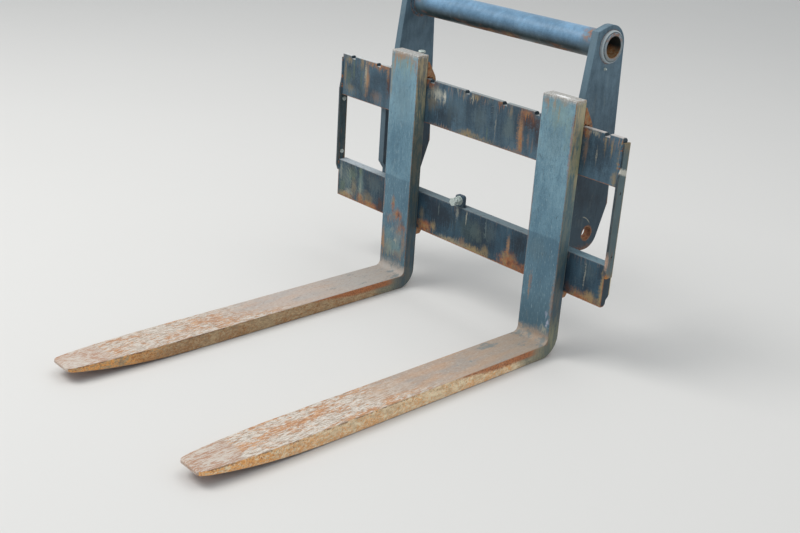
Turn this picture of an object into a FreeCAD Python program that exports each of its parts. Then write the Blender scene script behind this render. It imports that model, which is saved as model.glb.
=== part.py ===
import FreeCAD, Part
import math
import os

V = FreeCAD.Vector

# All sizes are in millimetres. X runs along the bars, +Y points from the
# fork tips back to the hitch, +Z is up and z = 0 is the ground.
# Profiles are written with y = 0 at the front face of the bars.

# Fork arms
BLADE_LENGTH = 1220.0        # in front of the shank
FORK_WIDTH = 125.0
FORK_THICK = 45.0
SHANK_TOP = 790.0
HEEL_RADIUS = 62.0
INNER_RADIUS = 18.0
TIP_THICK = 12.0
UNDERSIDE_TAPER = 440.0      # length over which the blade thins to the tip
TIP_PLAN = (                 # distance from the tip, share of the full width
    (360.0, 1.0), (290.0, 1.0), (240.0, 0.986), (190.0, 0.96), (140.0, 0.922),
    (95.0, 0.870), (55.0, 0.806), (25.0, 0.746), (12.0, 0.698), (4.0, 0.630))
TIP_END = (0.544, 2.5, 2.2)  # share of the width, front edge rounded below and above
FORK_EDGE = 3.5              # rounding of the forged edges
TOP_EASE = 1.5
FORK_X_LEFT = -243.0
FORK_X_RIGHT = 400.0

# Bars
BAR_LENGTH = 1200.0
BAR_THICK = 35.0
BAR_BOTTOM = 206.0           # lower edge of the lower bar
BAR_TOP = 714.0              # upper edge of the upper bar
UPPER_BAR_HEIGHT = 143.0
LOWER_BAR_HEIGHT = 131.0
LIP_THICK = 21.5
LIP_HEIGHT = 18.0
LIP_BEVEL = 14.0
LIP_CORNER = 7.0             # bevel that lets the hooks' noses over the lip
BAR_EASE = 1.5               # worn corners of the bars' section
NOTCH_X = (0.0, 157.0, 287.0, 416.0, 546.0)
NOTCH_WIDTH = 19.0
NOTCH_DEPTH = 10.0

# Hooks that hang the forks on the bars
SLIDE_GAP = 0.5              # fork face to bar face, and hook to bar edge
NOSE_GAP = 1.5               # hook nose to the back of the lip
NOSE_REACH = 15.0            # how far a nose grips over the lip
NOSE_THICK = 15.5
UPPER_HOOK_RISE = 52.0
UPPER_HOOK_SHELF = 7.0       # flat on top, before the slope
LOWER_HOOK_DROP = 28.0
LOWER_HOOK_INSET = 15.0      # each side, from the shank's sides
RELIEF_RADIUS = 6.0
HOOK_EASE = 2.0

# Fork latch
LATCH_PIN_R = 7.0
LATCH_PIN_CLEAR = 0.4
LATCH_OFFSET = 16.0          # from the fork's middle towards +X
LATCH_LIFT = 6.0             # pin end drawn up above the bar's edge
LATCH_KNOB_R = 12.0
LATCH_KNOB_H = 9.0
LATCH_KNOB_Z = {"left": 787.0, "right": 774.0}
LATCH_EASE = 1.5

# Side plates that carry the hitch
EAR_OUTER = 408.0            # outer face from the middle
EAR_THICK = 25.0
TUBE_Y = 146.0
TUBE_Z = 916.0
TUBE_R = 41.25
TUBE_WALL = 10.0
TUBE_PROUD = 11.0
TUBE_CHAMFER = 1.5
COLLAR_R = 47.5
COLLAR_LENGTH = 9.0
COLLAR_CHAMFER = 3.0
EAR_HEAD_R = 62.0
EAR_FRONT_Y = 51.0           # just above the upper bar
EAR_FRONT_TOP_Y = 84.0
EAR_FRONT_TOP = 962.0
LOCK_Y = 145.0
LOCK_Z = 346.0
LOCK_R = 21.0
LOCK_LOBE_R = 53.0
EAR_REAR_Y = 231.0
EAR_REAR_Z = 428.0
EAR_EASE = 1.2
EAR_WINDOW_Y = 14.0          # front edge between the bars
EAR_WINDOW_FILLET = 11.0
EAR_HOOK_CLEAR = 30.0        # slope under the hooks' path

# End plates that stop the forks
PLATE_THICK = 8.0
PLATE_FRONT = 7.0            # stands this far in front of the bars
PLATE_BACK = 27.0
PLATE_BOTTOM = 298.0
PLATE_SHOULDER = 592.0
PLATE_NECK_Z = 630.0
PLATE_NECK_Y = 0.0           # flush with the bars above the stop
PLATE_TOP = 700.0
PLATE_BOLT_Z = (365.0, 555.0)
PLATE_BOLT_Y = 10.0
PLATE_BOLT_R = 4.0
PLATE_BOLT_HEAD = (13.0, 5.3)
PLATE_BOLT_RECESS = 2.5
PLATE_EASE = 0.8

# Stop screw in the middle, in a lug that stands on the lower bar
STOP_Z = 357.0
STOP_R = 8.0
STOP_HEAD = (24.0, 10.0)
STOP_NUT = (24.0, 13.0)
STOP_WASHER = (15.0, 3.0)
STOP_FRONT = 28.0            # head stands this far in front of the bars
STOP_BEHIND = 9.0
LUG_FRONT = 5.0              # behind the front face of the bar
LUG_WIDTH = 36.0
LUG_THICK = 12.0
LUG_ABOVE = 17.0             # over the middle of the screw
LUG_CORNER = 9.0

FORK_BACK = -SLIDE_GAP
TIP_Y = FORK_BACK - FORK_THICK - BLADE_LENGTH
Y_SHIFT = -(TIP_Y + EAR_REAR_Y) / 2.0
LOWER_BAR_TOP = BAR_BOTTOM + LOWER_BAR_HEIGHT
UPPER_BAR_BOTTOM = BAR_TOP - UPPER_BAR_HEIGHT


def yz(x, y, z):
    return V(x, y + Y_SHIFT, z)


def prism(points, x0, x1):
    """Side outline in the YZ plane, drawn from x0 to x1."""
    wire = Part.makePolygon([yz(x0, y, z) for y, z in points + points[:1]])
    return Part.Face(wire).extrude(V(x1 - x0, 0, 0))


def rod_x(y, z, r, x0, x1):
    return Part.makeCylinder(r, x1 - x0, yz(x0, y, z), V(1, 0, 0))


def rod_y(x, z, r, y0, y1):
    return Part.makeCylinder(r, y1 - y0, yz(x, y0, z), V(0, 1, 0))


def rod_z(x, y, r, z0, z1):
    return Part.makeCylinder(r, z1 - z0, yz(x, y, z0), V(0, 0, 1))


def block(x0, x1, y0, y1, z0, z1):
    return Part.makeBox(x1 - x0, y1 - y0, z1 - z0, yz(x0, y0, z0))


def eased(points, cut):
    """Side outline with each corner cut back by the same amount."""
    out = []
    for i, corner in enumerate(points):
        for other in (points[i - 1], points[(i + 1) % len(points)]):
            dy, dz = other[0] - corner[0], other[1] - corner[1]
            step = cut / math.hypot(dy, dz)
            out.append((corner[0] + dy * step, corner[1] + dz * step))
    return out


def hexagon(across, height, base, axis):
    """Hexagonal prism with its axis along X or Y."""
    r = across / math.sqrt(3.0)
    u, v = (V(0, 1, 0), V(0, 0, 1)) if axis.x else (V(1, 0, 0), V(0, 0, 1))
    corners = [base + u * (r * math.cos(math.radians(60 * k + 30))) + v * (r * math.sin(math.radians(60 * k + 30)))
               for k in range(6)]
    return Part.Face(Part.makePolygon(corners + corners[:1])).extrude(axis * height)


def mirrored(shape):
    return shape.mirror(V(0, 0, 0), V(1, 0, 0))


def tangent(centre, r, point, side):
    """Point where the line from an outer point touches a circle."""
    dy, dz = point[0] - centre[0], point[1] - centre[1]
    angle = math.atan2(dz, dy) + side * math.acos(r / math.hypot(dy, dz))
    return (centre[0] + r * math.cos(angle), centre[1] + r * math.sin(angle))


def arc_points(centre, r, start, end):
    """Three points of the arc from angle start to end, in degrees."""
    return [(centre[0] + r * math.cos(math.radians(a)), centre[1] + r * math.sin(math.radians(a)))
            for a in (start, (start + end) / 2.0, end)]


def outline(steps, x):
    """Wire in the YZ plane: a two-item step is a corner, a six-item step an arc."""
    edges, last = [], None
    first = None
    for step in steps:
        points = [tuple(p) for p in step]
        if last is None:
            first = points[0]
        elif math.dist(last, points[0]) > 1e-6:
            edges.append(Part.LineSegment(yz(x, *last), yz(x, *points[0])).toShape())
        if len(points) == 3:
            edges.append(Part.Arc(*[yz(x, *p) for p in points]).toShape())
        last = points[-1]
    edges.append(Part.LineSegment(yz(x, *last), yz(x, *first)).toShape())
    return Part.Wire(edges)


def upper_bar():
    half = BAR_LENGTH / 2.0
    lip_end = BAR_TOP - LIP_HEIGHT
    section = [(0, UPPER_BAR_BOTTOM), (0, BAR_TOP), (LIP_THICK - LIP_CORNER, BAR_TOP), (LIP_THICK, BAR_TOP - LIP_CORNER),
               (LIP_THICK, lip_end), (BAR_THICK, lip_end - LIP_BEVEL), (BAR_THICK, UPPER_BAR_BOTTOM)]
    bar = prism(eased(section, BAR_EASE), -half, half)
    for x in sorted({s * n for n in NOTCH_X for s in (-1, 1)}):
        bar = bar.cut(block(x - NOTCH_WIDTH / 2, x + NOTCH_WIDTH / 2, -1, BAR_THICK, BAR_TOP - NOTCH_DEPTH, BAR_TOP + 1))
    return bar


def lower_bar():
    half = BAR_LENGTH / 2.0
    lip_end = BAR_BOTTOM + LIP_HEIGHT
    section = [(0, LOWER_BAR_TOP), (0, BAR_BOTTOM), (LIP_THICK - LIP_CORNER, BAR_BOTTOM), (LIP_THICK, BAR_BOTTOM + LIP_CORNER),
               (LIP_THICK, lip_end), (BAR_THICK, lip_end + LIP_BEVEL), (BAR_THICK, LOWER_BAR_TOP)]
    return prism(eased(section, BAR_EASE), -half, half)


def ear_right():
    inner = EAR_OUTER - EAR_THICK
    tube, lock = (TUBE_Y, TUBE_Z), (LOCK_Y, LOCK_Z)
    front_top = (EAR_FRONT_TOP_Y, EAR_FRONT_TOP)
    rear_low = (EAR_REAR_Y, EAR_REAR_Z)
    head_front = tangent(tube, EAR_HEAD_R, front_top, -1)
    head_rear = tangent(tube, EAR_HEAD_R, rear_low, 1)
    a0 = math.degrees(math.atan2(head_front[1] - TUBE_Z, head_front[0] - TUBE_Y))
    a1 = math.degrees(math.atan2(head_rear[1] - TUBE_Z, head_rear[0] - TUBE_Y))
    lobe_rear = tangent(lock, LOCK_LOBE_R, rear_low, -1)
    a2 = math.degrees(math.atan2(lobe_rear[1] - LOCK_Z, lobe_rear[0] - LOCK_Y))
    bevel_end = BAR_TOP - LIP_HEIGHT - LIP_BEVEL
    window_top = UPPER_BAR_BOTTOM
    nose = EAR_WINDOW_Y - EAR_WINDOW_FILLET
    wire = outline([
        [front_top], arc_points(tube, EAR_HEAD_R, a0, a1), [rear_low],
        arc_points(lock, LOCK_LOBE_R, a2, -90.0),
        [(BAR_THICK, LOCK_Z - LOCK_LOBE_R)],
        [(BAR_THICK, LOWER_BAR_TOP + LIP_BEVEL)],
        [(EAR_WINDOW_Y, LOWER_BAR_TOP + LIP_BEVEL + EAR_HOOK_CLEAR)],
        arc_points((nose, window_top - EAR_WINDOW_FILLET), EAR_WINDOW_FILLET, 0.0, 90.0),
        [(BAR_THICK, window_top)],
        [(BAR_THICK, bevel_end)],
        [(EAR_FRONT_Y, bevel_end + EAR_HOOK_CLEAR)],
    ], inner)
    ear = Part.Face(wire).extrude(V(EAR_THICK, 0, 0))
    rims = [e for e in ear.Edges if e.BoundBox.XLength < 0.01]
    ear = ear.makeChamfer(EAR_EASE, rims)
    ear = ear.cut(rod_x(TUBE_Y, TUBE_Z, TUBE_R, inner - 1, EAR_OUTER + 1))
    return ear.cut(rod_x(LOCK_Y, LOCK_Z, LOCK_R, inner - 1, EAR_OUTER + 1))


def hitch_tube():
    end = EAR_OUTER + TUBE_PROUD
    tube = rod_x(TUBE_Y, TUBE_Z, TUBE_R, -end, end).cut(rod_x(TUBE_Y, TUBE_Z, TUBE_R - TUBE_WALL, -end - 1, end + 1))
    rims = [e for e in tube.Edges if len(e.Vertexes) == 1 and abs(abs(e.CenterOfMass.x) - end) < 0.01
            and abs(e.Curve.Radius - TUBE_R) < 0.01]
    return tube.makeChamfer(TUBE_CHAMFER, rims)


def tube_collar():
    collar = rod_x(TUBE_Y, TUBE_Z, COLLAR_R, EAR_OUTER, EAR_OUTER + COLLAR_LENGTH)
    rim = [e for e in collar.Edges if e.BoundBox.XLength < 0.01 and e.CenterOfMass.x > EAR_OUTER + 1]
    collar = collar.makeChamfer(COLLAR_CHAMFER, rim)
    return collar.cut(rod_x(TUBE_Y, TUBE_Z, TUBE_R, EAR_OUTER - 1, EAR_OUTER + COLLAR_LENGTH + 1))


def end_plate():
    half = BAR_LENGTH / 2.0
    plate = prism([(-PLATE_FRONT, PLATE_BOTTOM + 20), (-PLATE_FRONT, PLATE_SHOULDER), (PLATE_NECK_Y, PLATE_NECK_Z),
                   (PLATE_NECK_Y, PLATE_TOP), (PLATE_BACK, PLATE_TOP), (PLATE_BACK, PLATE_BOTTOM),
                   (PLATE_NECK_Y, PLATE_BOTTOM)], half, half + PLATE_THICK)
    plate = plate.makeChamfer(PLATE_EASE, [e for e in plate.Edges if e.BoundBox.XLength < 0.01])
    for z in PLATE_BOLT_Z:
        plate = plate.cut(rod_x(PLATE_BOLT_Y, z, PLATE_BOLT_R, half - 1, half + PLATE_THICK + 1))
    return plate


def end_bolt(z):
    half = BAR_LENGTH / 2.0
    across, height = PLATE_BOLT_HEAD
    head = hexagon(across, height, yz(half - height, PLATE_BOLT_Y, z), V(1, 0, 0))
    return head.fuse(rod_x(PLATE_BOLT_Y, z, PLATE_BOLT_R, half - 1, half + PLATE_THICK - PLATE_BOLT_RECESS)).removeSplitter()


def stop_lug():
    back = LUG_FRONT + LUG_THICK
    lug = block(-LUG_WIDTH / 2, LUG_WIDTH / 2, LUG_FRONT, back, LOWER_BAR_TOP, STOP_Z + LUG_ABOVE)
    lug = lug.makeFillet(LUG_CORNER, [e for e in lug.Edges if e.BoundBox.YLength > LUG_THICK - 1 and e.CenterOfMass.z > STOP_Z])
    return lug.cut(rod_y(0, STOP_Z, STOP_R, LUG_FRONT - 1, back + 1))


def stop_screw():
    across, height = STOP_HEAD
    head = hexagon(across, height, yz(0, -STOP_FRONT, STOP_Z), V(0, 1, 0))
    shank = rod_y(0, STOP_Z, STOP_R, height - STOP_FRONT - 1, LUG_FRONT + LUG_THICK + STOP_BEHIND)
    return head.fuse(shank).removeSplitter()


def stop_nut():
    across, height = STOP_NUT
    washer_r, washer_t = STOP_WASHER
    washer = rod_y(0, STOP_Z, washer_r, LUG_FRONT - washer_t, LUG_FRONT)
    nut = hexagon(across, height, yz(0, LUG_FRONT - washer_t - height, STOP_Z), V(0, 1, 0))
    both = nut.fuse(washer)
    return both.cut(rod_y(0, STOP_Z, STOP_R, -STOP_FRONT, LUG_FRONT + 1)).removeSplitter()


def fork_arm(x):
    half = FORK_WIDTH / 2.0
    front = FORK_BACK - FORK_THICK
    taper = TIP_Y + UNDERSIDE_TAPER
    heel = (FORK_BACK - HEEL_RADIUS, HEEL_RADIUS)
    fillet = (front - INNER_RADIUS, FORK_THICK + INNER_RADIUS)
    wire = outline([
        [(FORK_BACK, SHANK_TOP)],
        arc_points(heel, HEEL_RADIUS, 0.0, -90.0),
        [(taper, 0.0)],
        [(taper, FORK_THICK)],
        arc_points(fillet, INNER_RADIUS, -90.0, 0.0),
        [(front, SHANK_TOP)],
    ], x - half)
    arm = Part.Face(wire).extrude(V(FORK_WIDTH, 0, 0))
    sides = [e for e in arm.Edges if abs(e.CenterOfMass.x - x) > half - 0.01
             and e.CenterOfMass.z < SHANK_TOP - 1 and e.CenterOfMass.y - Y_SHIFT > taper + 1]
    arm = arm.makeFillet(FORK_EDGE, sides)
    arm = arm.makeChamfer(TOP_EASE, [e for e in arm.Edges if e.CenterOfMass.z > SHANK_TOP - 0.01])
    return arm.fuse(fork_tip(x)).removeSplitter()


def fork_tip(x):
    """Tapered end of the blade, through rounded cross sections."""
    half = FORK_WIDTH / 2.0
    rise = FORK_THICK - TIP_THICK
    wires = [rounded_section(x, TIP_Y + UNDERSIDE_TAPER, half, 0.0, FORK_THICK)]
    for along, share in TIP_PLAN:
        under = rise * (1.0 - along / UNDERSIDE_TAPER) ** 2
        wires.append(rounded_section(x, TIP_Y + along, half * share, under, FORK_THICK))
    share, below, above = TIP_END
    wires.append(rounded_section(x, TIP_Y, half * share, rise + below, FORK_THICK - above))
    return Part.makeLoft(wires, True, True)


def rounded_section(x, y, half, low, high):
    """Cross section of the blade: a rectangle with rounded corners."""
    r = min(FORK_EDGE, (high - low) / 2.0 - 0.6)
    k = r * (1.0 - math.sqrt(0.5))

    def line(*ends):
        return Part.LineSegment(*[yz(x + px, y, pz) for px, pz in ends]).toShape()

    def arc(*points):
        return Part.Arc(*[yz(x + px, y, pz) for px, pz in points]).toShape()

    return Part.Wire([
        line((r - half, low), (half - r, low)), arc((half - r, low), (half - k, low + k), (half, low + r)),
        line((half, low + r), (half, high - r)), arc((half, high - r), (half - k, high - k), (half - r, high)),
        line((half - r, high), (r - half, high)), arc((r - half, high), (k - half, high - k), (-half, high - r)),
        line((-half, high - r), (-half, low + r)), arc((-half, low + r), (k - half, low + k), (r - half, low)),
    ])


def upper_hook(x):
    half = FORK_WIDTH / 2.0
    seat = BAR_TOP + SLIDE_GAP
    inner = LIP_THICK + NOSE_GAP
    outer = inner + NOSE_THICK
    hook = prism([(FORK_BACK, seat), (FORK_BACK, seat + UPPER_HOOK_RISE), (FORK_BACK + UPPER_HOOK_SHELF, seat + UPPER_HOOK_RISE),
                  (outer - 2, seat + 4), (outer, seat - 4), (outer, seat - NOSE_REACH + 4), (outer - 5, seat - NOSE_REACH),
                  (inner, seat - NOSE_REACH + 2), (inner, seat)], x - half, x + half)
    slopes = [e for e in hook.Edges if e.BoundBox.XLength < 0.01 and e.CenterOfMass.z > seat - 1
              and e.CenterOfMass.y - Y_SHIFT > FORK_BACK + UPPER_HOOK_SHELF]
    hook = hook.makeChamfer(HOOK_EASE, slopes)
    hook = hook.cut(rod_x(FORK_BACK + RELIEF_RADIUS, seat, RELIEF_RADIUS, x - half - 1, x + half + 1))
    return hook.cut(rod_z(x + LATCH_OFFSET, latch_y(), LATCH_PIN_R + LATCH_PIN_CLEAR, seat - 1, SHANK_TOP))


def latch_y():
    return FORK_BACK + LATCH_KNOB_R + SLIDE_GAP


def latch(x, knob_z):
    pin = rod_z(x + LATCH_OFFSET, latch_y(), LATCH_PIN_R, BAR_TOP + LATCH_LIFT, knob_z + 1)
    knob = rod_z(x + LATCH_OFFSET, latch_y(), LATCH_KNOB_R, knob_z, knob_z + LATCH_KNOB_H)
    knob = knob.makeChamfer(LATCH_EASE, [e for e in knob.Edges if e.BoundBox.ZLength < 0.01])
    return pin.fuse(knob).removeSplitter()


def lower_hook(x):
    half = FORK_WIDTH / 2.0 - LOWER_HOOK_INSET
    seat = BAR_BOTTOM - SLIDE_GAP
    inner = LIP_THICK + NOSE_GAP
    outer = inner + NOSE_THICK
    hook = prism([(FORK_BACK, seat), (inner, seat), (inner, seat + NOSE_REACH - 2), (outer - 5, seat + NOSE_REACH),
                  (outer, seat + NOSE_REACH - 4), (outer, seat - LOWER_HOOK_DROP / 2), (outer - 10, seat - LOWER_HOOK_DROP),
                  (FORK_BACK, seat - LOWER_HOOK_DROP)], x - half, x + half)
    return hook.cut(rod_x(FORK_BACK + RELIEF_RADIUS, seat, RELIEF_RADIUS, x - half - 1, x + half + 1))


def pieces():
    made = {
        "upper_bar": upper_bar(),
        "lower_bar": lower_bar(),
        "ear_right": ear_right(),
        "ear_left": mirrored(ear_right()),
        "hitch_tube": hitch_tube(),
        "tube_collar_right": tube_collar(),
        "tube_collar_left": mirrored(tube_collar()),
        "end_plate_right": end_plate(),
        "end_plate_left": mirrored(end_plate()),
        "stop_lug": stop_lug(),
        "stop_screw": stop_screw(),
        "stop_nut": stop_nut(),
    }
    for z, level in zip(PLATE_BOLT_Z, ("low", "high")):
        made["end_bolt_right_" + level] = end_bolt(z)
        made["end_bolt_left_" + level] = mirrored(end_bolt(z))
    for side, x in (("left", FORK_X_LEFT), ("right", FORK_X_RIGHT)):
        made["fork_" + side] = fork_arm(x)
        made["fork_%s_upper_hook" % side] = upper_hook(x)
        made["fork_%s_lower_hook" % side] = lower_hook(x)
        made["fork_%s_latch" % side] = latch(x, LATCH_KNOB_Z[side])
    return made


os.makedirs("parts", exist_ok=True)
for name, shape in pieces().items():
    solid = shape.Solids[0] if len(shape.Solids) == 1 else shape
    solid.exportStep("parts/" + name + ".step")
    box = solid.BoundBox
    print("%-24s solids %d valid %s x %.1f..%.1f y %.1f..%.1f z %.1f..%.1f" % (
        name, len(shape.Solids), solid.isValid(), box.XMin, box.XMax, box.YMin, box.YMax, box.ZMin, box.ZMax))
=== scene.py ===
import math
import random

import bmesh
import bpy
from bpy.props import FloatProperty, FloatVectorProperty, PointerProperty
from mathutils import Matrix, Vector


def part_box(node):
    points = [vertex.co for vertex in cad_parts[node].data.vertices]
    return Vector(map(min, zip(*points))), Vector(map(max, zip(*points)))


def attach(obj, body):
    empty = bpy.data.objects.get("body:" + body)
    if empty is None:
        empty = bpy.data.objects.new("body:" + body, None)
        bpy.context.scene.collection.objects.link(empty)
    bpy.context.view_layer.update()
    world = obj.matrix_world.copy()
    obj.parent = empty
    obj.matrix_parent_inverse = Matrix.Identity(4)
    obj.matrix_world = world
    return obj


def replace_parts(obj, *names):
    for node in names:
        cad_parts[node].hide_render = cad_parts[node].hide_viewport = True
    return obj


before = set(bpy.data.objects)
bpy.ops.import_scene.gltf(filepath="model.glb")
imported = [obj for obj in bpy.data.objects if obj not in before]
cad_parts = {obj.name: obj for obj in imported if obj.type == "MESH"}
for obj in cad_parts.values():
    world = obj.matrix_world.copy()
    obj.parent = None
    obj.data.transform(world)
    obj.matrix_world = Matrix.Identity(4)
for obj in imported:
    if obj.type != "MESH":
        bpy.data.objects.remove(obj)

bl_info = {
    "name": "Pallet Fork Attachment",
    "version": (1, 0, 0),
    "blender": (4, 5, 0),
    "location": "View3D > Sidebar > Pallet Forks",
    "description": "Worn finish, welds and fasteners for a hook-on pallet fork carriage",
    "category": "Object",
}

# The frame is in metres: X along the bars, +Y from the fork tips to the hitch,
# Z up. Each axis below runs along X through (y, z), and its y, like every y
# that a finish names, counts back from the front face of the bars. The
# shank's front and back count forward from it.
BAR_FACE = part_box("lower_bar")[0].y
BLADE_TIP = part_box("fork_right")[0].y
BLADE_TOP = 0.045
SHANK_TOP = 0.790
SHANK_FRONT = 0.0455
SHANK_BACK = 0.0005
HALF_FORK = 0.0625
TUBE_AXIS = (0.146, 0.916)
COLLAR_RADIUS = 0.0475
LOCK_AXIS = (0.145, 0.346)
LOCK_RADIUS = 0.021
NIPPLE_AXIS = (0.130, 0.853)
TUBE_WELD_RADIUS = 0.0415
ARMS = {node: sum(corner.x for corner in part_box(node)) / 2 for node in ("fork_right", "fork_left")}
SIDES = (("right", 1), ("left", -1))
UP = Vector((0, 0, 1))
GLOSS = 0.32

# Turned shapes as pairs of a distance along the axis and a radius.
KNOB = ((0.0, 0.0085), (0.0008, 0.0112), (0.0014, 0.0119), (0.0058, 0.0119), (0.0066, 0.0112),
        (0.0078, 0.0096), (0.0086, 0.0066), (0.009, 0.003))
WASHER = ((0.0, 0.0145), (0.0004, 0.015), (0.0026, 0.015), (0.003, 0.0145))
NIPPLE = ((0.0, 0.0026), (0.0012, 0.0022), (0.0022, 0.0022), (0.0028, 0.0031), (0.0040, 0.0033),
          (0.0050, 0.0024), (0.0054, 0.0012))

# Screws: width across flats, height of the head, start, radius and pitch of the thread.
STOP_SCREW = (0.024, 0.010, 0.009, 0.008, 0.002)
END_BOLT = (0.013, 0.0053, 0.005, 0.004, 0.00125)
NUT_HEIGHT = 0.013


def display(red, green, blue):
    """A colour picked on screen, 0 to 255, as the linear values that Blender stores."""
    return tuple(round((c / 255 / 12.92) if c <= 10 else ((c / 255 + 0.055) / 1.055) ** 2.4, 4)
                 for c in (red, green, blue))


def linear(colour):
    """Takes a tuple as a colour picked on screen, and anything else as it is."""
    return display(*colour) if isinstance(colour, tuple) else colour


def colour_property(name, description, red, green, blue):
    return FloatVectorProperty(name=name, description=description, default=display(red, green, blue),
                               subtype="COLOR", size=3, min=0, max=1)


class CarriagePaint(bpy.types.PropertyGroup):
    """Paint on the carriage and on the forks."""

    slate_dark: colour_property("Slate, dark", "Carriage paint where it is kept", 42, 62, 76)
    slate_light: colour_property("Slate, light", "Carriage paint where it has chalked", 77, 104, 121)
    # The lower bar's slate is darker than the upper bar's: painted shade under the upper bar and the forks.
    shade_dark: colour_property("Lower slate, dark", "Paint of the lower bar, kept", 22, 40, 55)
    shade_light: colour_property("Lower slate, light", "Paint of the lower bar, chalked", 51, 80, 97)
    fork_dark: colour_property("Fork paint, dark", "Fork paint where it is kept", 80, 114, 132)
    fork_light: colour_property("Fork paint, light", "Fork paint where it has chalked", 122, 157, 172)


class RustColours(bpy.types.PropertyGroup):
    """Rust, dust and bare metal."""

    brown: colour_property("Brown rust", "Old, deep rust", 84, 60, 50)
    maroon: colour_property("Maroon rust", "Thin rust under a film of paint", 72, 56, 56)
    orange: colour_property("Orange rust", "Fresh rust", 158, 100, 64)
    run: colour_property("Rust run", "Pale rust washed down the paint", 156, 122, 92)
    ochre: colour_property("Ochre dust", "Rust dust on the paint", 148, 128, 90)
    cream: colour_property("Cream chalk", "Paint rubbed down to pale primer", 166, 164, 148)
    tan: colour_property("Rubbed blade", "Top of the blades, polished by pallets", 176, 157, 142)
    pale: colour_property("Pale scale", "Dry scale on the blade ends", 217, 211, 202)
    zinc: colour_property("Zinc", "Plated screws and latches", 206, 216, 213)


class WeldSizes(bpy.types.PropertyGroup):
    """Sizes of the weld beads."""

    heavy: FloatProperty(name="Heavy bead", description="Radius of the beads at the hitch tube and plates",
                         default=0.0065, min=0.002, max=0.015, subtype="DISTANCE", unit="LENGTH")
    light: FloatProperty(name="Light bead", description="Radius of the beads at the end plates and lug",
                         default=0.0038, min=0.001, max=0.01, subtype="DISTANCE", unit="LENGTH")
    ripple: FloatProperty(name="Ripple", description="Distance from one ripple of a bead to the next",
                          default=0.0042, min=0.001, max=0.02, subtype="DISTANCE", unit="LENGTH")


class StudioSettings(bpy.types.PropertyGroup):
    """Floor and lamps."""

    floor: colour_property("Floor", "Plain pale floor", 212, 211, 209)
    sky: FloatProperty(name="Sky", description="Strength of the even light from above and around",
                       default=0.64, min=0, max=4)
    key: FloatProperty(name="Key lamp", description="Power of the large lamp at the front left, in watts",
                       default=310, min=0, max=10000, unit="POWER")


SETTINGS = {
    "fork_paint": CarriagePaint,
    "fork_rust": RustColours,
    "fork_welds": WeldSizes,
    "fork_studio": StudioSettings,
}


def settings(name):
    return getattr(bpy.context.scene, name)


class Field:
    """A value that varies over a surface. Arithmetic on it adds Math nodes."""

    def __init__(self, graph, socket):
        self.graph, self.socket = graph, socket

    def maths(self, operation, *values):
        return self.graph.node("ShaderNodeMath", {"operation": operation}, dict(enumerate(values)))

    def __add__(self, other):
        return self.maths("ADD", self, other)

    def __sub__(self, other):
        return self.maths("SUBTRACT", self, other)

    def __rsub__(self, other):
        return self.maths("SUBTRACT", other, self)

    def __mul__(self, other):
        return self.maths("MULTIPLY", self, other)

    def __neg__(self):
        return self.maths("MULTIPLY", self, -1.0)

    def __abs__(self):
        return self.maths("ABSOLUTE", self)

    def __pow__(self, other):
        return self.maths("POWER", self, other)

    __radd__ = __add__
    __rmul__ = __mul__

    def least(self, other):
        return self.maths("MINIMUM", self, other)

    def most(self, other):
        return self.maths("MAXIMUM", self, other)


class Graph:
    """The nodes of a material or of the world."""

    def __init__(self, owner):
        owner.use_nodes = True
        self.tree = owner.node_tree
        self.tree.nodes.clear()

    def node(self, kind, setup=None, values=None, output=0):
        """Adds a node: its settings first, then the values or links of its sockets."""
        made = self.tree.nodes.new(kind)
        for key, value in (setup or {}).items():
            setattr(made, key, value)
        for key, value in (values or {}).items():
            socket = made.inputs[key]
            if isinstance(value, Field):
                self.tree.links.new(value.socket, socket)
            elif socket.type == "RGBA" and len(value) == 3:
                socket.default_value = (*value, 1.0)
            else:
                socket.default_value = value
        return Field(self, made.outputs[output]) if made.outputs else None

    def outputs(self, field, *names):
        """Other outputs of the node that a field comes from."""
        return [Field(self, field.socket.node.outputs[name]) for name in names]


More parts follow.
